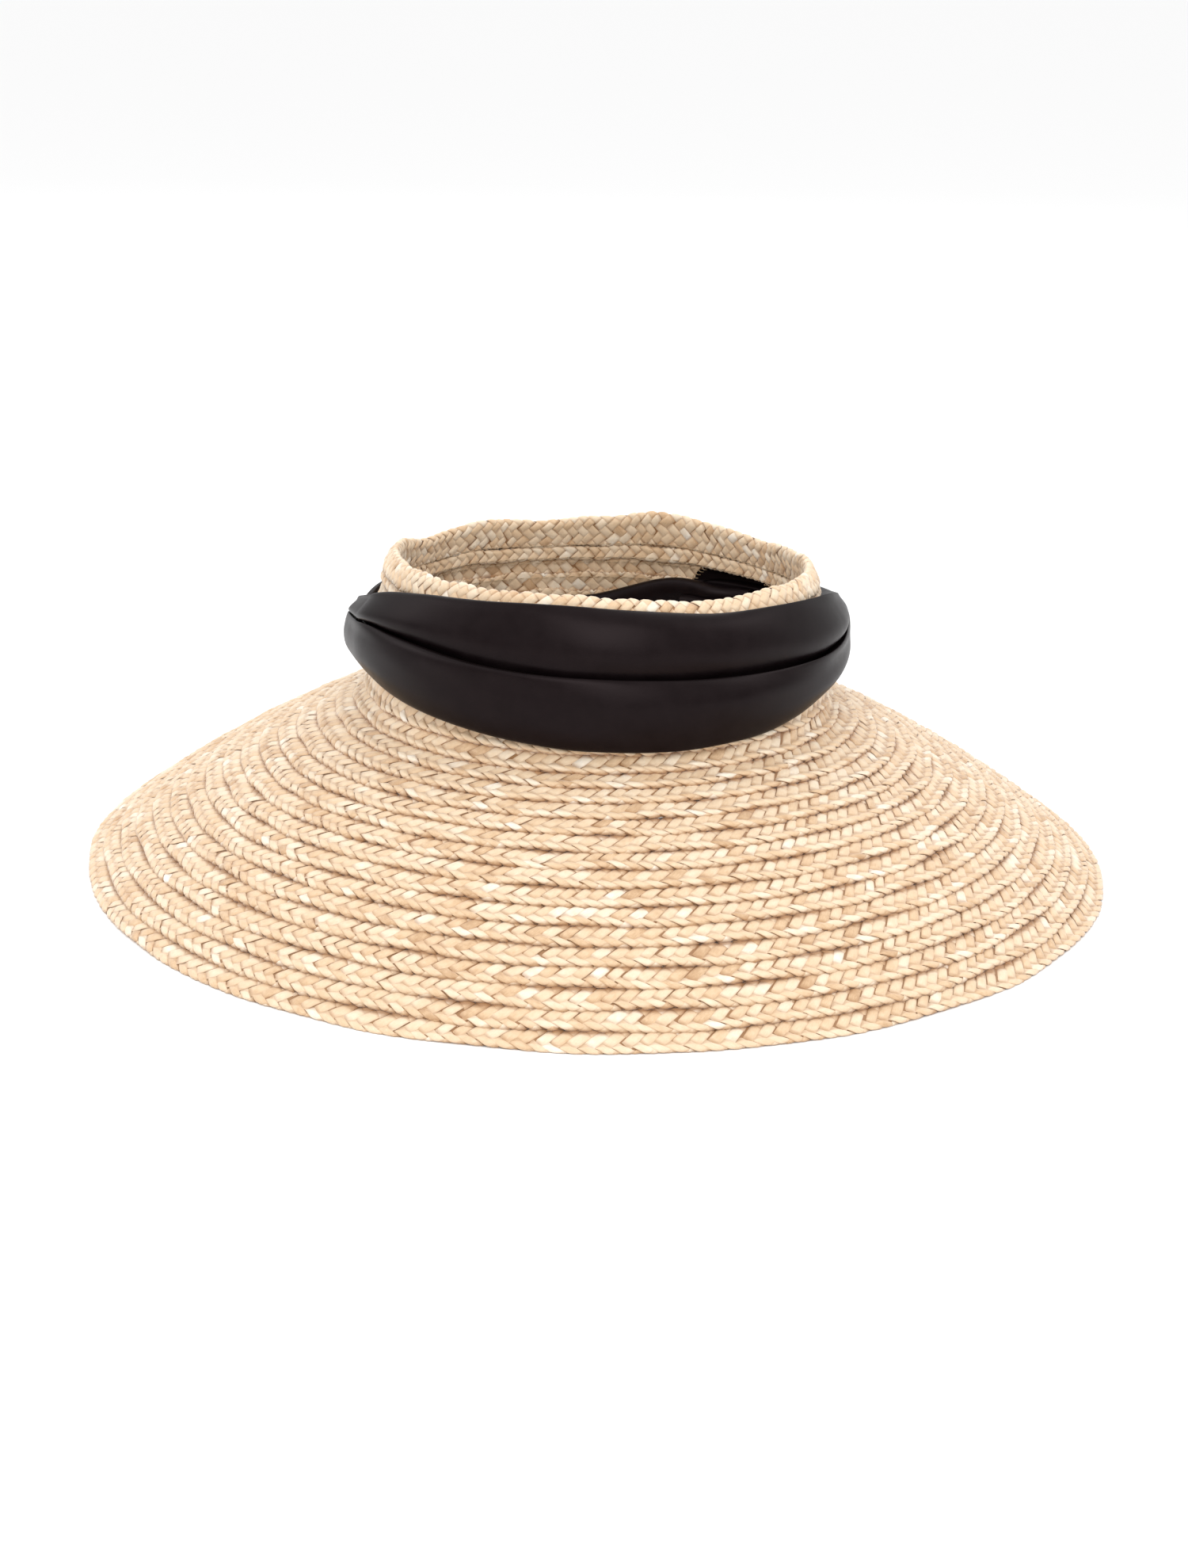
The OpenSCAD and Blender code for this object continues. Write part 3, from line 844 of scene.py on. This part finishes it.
def scarf_front_points(azimuth, samples):
    """The folded strip at each azimuth: up behind, over the top, down the upper fold, in at
    the crease, out over the lower fold's lip, down and round underneath."""
    top, crease, low = (along(t, azimuth) + BASE_Z for t in (TOP_EDGE, CREASE, LOW_EDGE))
    far, near, roll = (along(t, azimuth) for t in (BULGE_LOW, BULGE_HIGH, ROLL))
    near = np.maximum(near, roll + 0.8)
    upper, lower = top - crease, crease - low
    lip = 0.35 + 0.65 * (1 - ease(np.abs(azimuth), 96, 118))
    return folded([
        (1.0, top - 0.5 * upper), (0.5 + 0.3 * roll, top - 0.2 * upper),
        (0.3 + 0.8 * roll, top - 0.02 * upper), (0.7 * roll + 0.3 * near, top - 0.03 * upper),
        (0.25 * roll + 0.7 * near, top - 0.2 * upper), (near, crease + 0.42 * upper),
        (0.9 * near, crease + 0.16 * upper), (0.62 * near, crease - 0.6),
        (0.42 * near, crease - 0.16 * lower - 1), (0.5 * near + 0.6, crease - 0.12 * lower),
        (0.72 * near + 0.8, crease + 0.1), (0.9 * near + 1.2, crease + 0.7 * lip),
        (near + 1.7, crease - 0.8), (0.5 * near + 0.5 * far + 1.3, crease - 0.2 * lower),
        (far, low + 0.6 * lower), (0.84 * far, low + 0.3 * lower),
        (0.58 * far, low + 0.06 * lower), (0.34 * far, low - 0.4), (1.2, low + 0.6),
        (0.9, low + 0.2 * lower), (0.8, low + 0.5 * lower)], samples)


def wrinkle(rng, azimuth, v):
    """Long soft creases that run with the strip and gather towards the slots."""
    a, total = np.radians(azimuth), 0
    for _ in range(9):
        lean, phase = rng.uniform(-1.6, 1.6), rng.uniform(0, 2 * math.pi)
        rate, reach = rng.uniform(2.5, 10), rng.uniform(0.5, 1)
        total = total + reach * np.sin(rate * math.pi * v + 3.2 * lean * a + phase)
    return total / 4


def cloth_coordinates(points):
    """Distances along and across a sheet in millimetres, for its weave."""
    n, m = points.shape[:2]
    along_steps = np.linalg.norm(np.diff(points[:, m // 2], axis=0), axis=1)
    across_steps = np.linalg.norm(np.diff(points, axis=1), axis=2)
    lengthwise = np.concatenate([[0], np.cumsum(along_steps)])
    across = np.concatenate([np.zeros((n, 1)), np.cumsum(across_steps, 1)], 1)
    return np.stack([np.broadcast_to(lengthwise[:, None], (n, m)), across, 0 * across], -1)


def satin_piece(name, points):
    """A satin sheet from a grid of points, and its flat width and length in metres."""
    cloth = cloth_coordinates(points)
    n, m = points.shape[:2]
    piece = mesh_piece(name, points.reshape(-1, 3), grid_quads(n, m), [SATIN],
                       attributes={"cloth": cloth.reshape(-1, 3)})
    return piece, (float(cloth[n // 2, -1, 1]) * MM, float(cloth[-1, 0, 0]) * MM)


def scarf_front():
    """The front stretch: over the straw, and at each end bunched and led into a slot."""
    stations, samples = 420, 150
    azimuth = np.linspace(-FRONT_END, FRONT_END, stations)
    from_front = np.abs(azimuth)[:, None]
    out, z = scarf_front_points(azimuth, samples)
    # The lower part of the bunched cloth spills in through the slot before the upper part
    up = z - BASE_Z
    early = 8 * (1 - ease(up, 25, 32))
    cross = ease(from_front + early, SLOT_AZIMUTH - 7, SLOT_AZIMUTH + 12)
    spill = 13.5 - 13 * ease(up, 25, 31) - 9 * (1 - ease(up, 14, 21))
    v = np.linspace(0, 1, samples)[None]
    rng = np.random.default_rng(21)
    gather = 1.6 + 1.6 * ease(from_front, 40, 105)
    folds = wrinkle(rng, azimuth[:, None], v) * gather
    against_straw = (v < 0.1) | (v > 0.9)
    out = (out + np.where(against_straw, 0.15, 0.75) * folds
           + 0.18 * wrinkle(rng, 3 * azimuth[:, None], 2 * v))
    face = (wall_offset(z) + STRAW_PROUD) * (1 - cross) + wall_offset(SLOT_Z) * cross
    offset = face + np.maximum(out, 0.7) - spill * cross
    shift = STRAIGHT_SIDE * (np.clip((from_front - 87) / 6, 0, 1) - 0.5)
    px, py = oval(azimuth[:, None], offset, shift)
    scarf, flat_size = satin_piece("scarf_front_satin", settle(np.stack([px, py, z], -1)))
    finish_piece(scarf, "scarf_front")


# A tail's half thickness, and how far it lies inside the wall's face, in millimetres
TAIL_HALF, TAIL_INSIDE = 3.1, 6.5


def tail(side, name, node, seed):
    """A tail inside the back wall: a band folded once, which thins and droops to its end."""
    rng = np.random.default_rng(seed)
    stations, samples = 130, 70
    x = np.linspace(0, 1, stations)
    azimuth = TAIL_START + x * (TAIL_END - TAIL_START)
    low = BASE_Z + 15.5 - 20.5 * ease(x, 0.1, 0.95)
    high = BASE_Z + 31 + 1.5 * ease(x, 0.1, 0.3) - 10.5 * ease(x, 0.35, 1)
    rounded_end = np.clip((x - 0.93) / 0.075, 0, 1)
    half = TAIL_HALF * np.sqrt(np.clip(1 - rounded_end ** 2, 0.03, 1))
    # The folded band in section, as shares of its half thickness and of its height
    section = [(0.5, 0.5), (0.9, 0.75), (0.75, 0.94), (0.1, 1), (-0.75, 0.95), (-0.95, 0.75),
               (-0.55, 0.56), (-0.35, 0.5), (-0.75, 0.46), (-1.0, 0.25), (-0.8, 0.06), (0.0, 0),
               (0.75, 0.05), (0.85, 0.3)]
    out, z = folded([(d * half, low + share * (high - low)) for d, share in section], samples)
    out = out + wall_offset(SLOT_Z + 4) - TAIL_INSIDE
    out = out + 8.0 * (1 - ease(azimuth, SLOT_AZIMUTH - 5, SLOT_AZIMUTH + 9))[:, None]
    v = np.linspace(0, 1, samples)[None]
    calm_end = 1 - 0.5 * ease(x, 0.8, 1)[:, None]
    out = out + 0.5 * wrinkle(rng, 2 * azimuth[:, None], v) * calm_end
    px, py = oval(side * azimuth[:, None], out, STRAIGHT_SIDE / 2)
    points = settle(np.stack([px, py, z], -1))
    piece, size = satin_piece(name, points[::side])
    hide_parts(node)
    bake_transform(piece)


scarf_front()
tail(1, "scarf_tail_right_satin", "scarf_tail_right", 31)
tail(-1, "scarf_tail_left_satin", "scarf_tail_left", 32)

# ---- Floor, light and camera -----------------------------------------------------------

scene = bpy.context.scene
scene.view_settings.view_transform = "Standard"

FLOOR_REACH = 60.0
floor_mesh = bpy.data.meshes.new("floor")
floor_mesh.from_pydata([(x * FLOOR_REACH, y * FLOOR_REACH, 0)
                        for x, y in ((-1, -1), (1, -1), (1, 1), (-1, 1))], [], [(0, 1, 2, 3)])
floor = bpy.data.objects.new("floor", floor_mesh)
scene.collection.objects.link(floor)
floor_material, _, floor_shader = new_material("pale_floor")
set_inputs(floor_shader, Base_Color=(0.94, 0.94, 0.94, 1), Roughness=0.9, Specular_IOR_Level=0.1)
floor_mesh.materials.append(floor_material)

# A white sky that is brighter overhead
SKY_LEVEL, SKY_RISE = 0.55, 0.72
world = bpy.data.worlds.new("studio")
scene.world = world
world.use_nodes = True
sky = world.node_tree
upward = add(sky, "ShaderNodeSeparateXYZ")
sky.links.new(add(sky, "ShaderNodeTexCoord").outputs["Generated"], upward.inputs[0])
brightness = math_node(sky, "ADD", math_node(sky, "MULTIPLY", upward.outputs["Z"], SKY_RISE),
                       SKY_LEVEL)
sky.links.new(brightness, sky.nodes["Background"].inputs["Strength"])
set_inputs(sky.nodes["Background"], Color=(1, 1, 1, 1))


def stand_off(obj, azimuth, elevation, distance, target, roll=0.0):
    """Puts an object at an azimuth and elevation from a target, looking at it, in radians."""
    back = Vector((math.sin(azimuth) * math.cos(elevation),
                   -math.cos(azimuth) * math.cos(elevation), math.sin(elevation)))
    scene.collection.objects.link(obj)
    obj.location = target + distance * back
    obj.rotation_mode = "QUATERNION"
    obj.rotation_quaternion = ((-back).to_track_quat("-Z", "Y")
                               @ Matrix.Rotation(roll, 3, "Z").to_quaternion())


# Name, azimuth and elevation in degrees, distance and size in metres, power in watts
LIGHTS = [("key_above", -16, 32, 1.8, 1.0, 11), ("fill_right", 70, 38, 1.8, 0.9, 5),
          ("fill_left", -110, 32, 1.8, 0.9, 5), ("back_rim", 164, 45, 2.0, 1.2, 7)]
LIGHT_TARGET = Vector((0, 0, 0.05))
for name, azimuth, elevation, distance, size, power in LIGHTS:
    light = bpy.data.lights.new(name, "AREA")
    light.shape, light.size, light.energy = "SQUARE", size, power
    stand_off(bpy.data.objects.new(name, light), math.radians(azimuth), math.radians(elevation),
              distance, LIGHT_TARGET)

CAMERA_DISTANCE = 1.0114
CAMERA_ELEVATION = math.radians(17.93)
CAMERA_ROLL = 0.0152
CAMERA_TARGET = Vector((0, 0, (BASE_Z - 34.2) * MM))
camera_data = bpy.data.cameras.new("camera")
camera_data.sensor_width, camera_data.lens = 36.0, 59.92
camera = bpy.data.objects.new("camera", camera_data)
stand_off(camera, VIEW_AZIMUTH, CAMERA_ELEVATION, CAMERA_DISTANCE, CAMERA_TARGET, CAMERA_ROLL)
scene.camera = camera

bpy.context.view_layer.update()
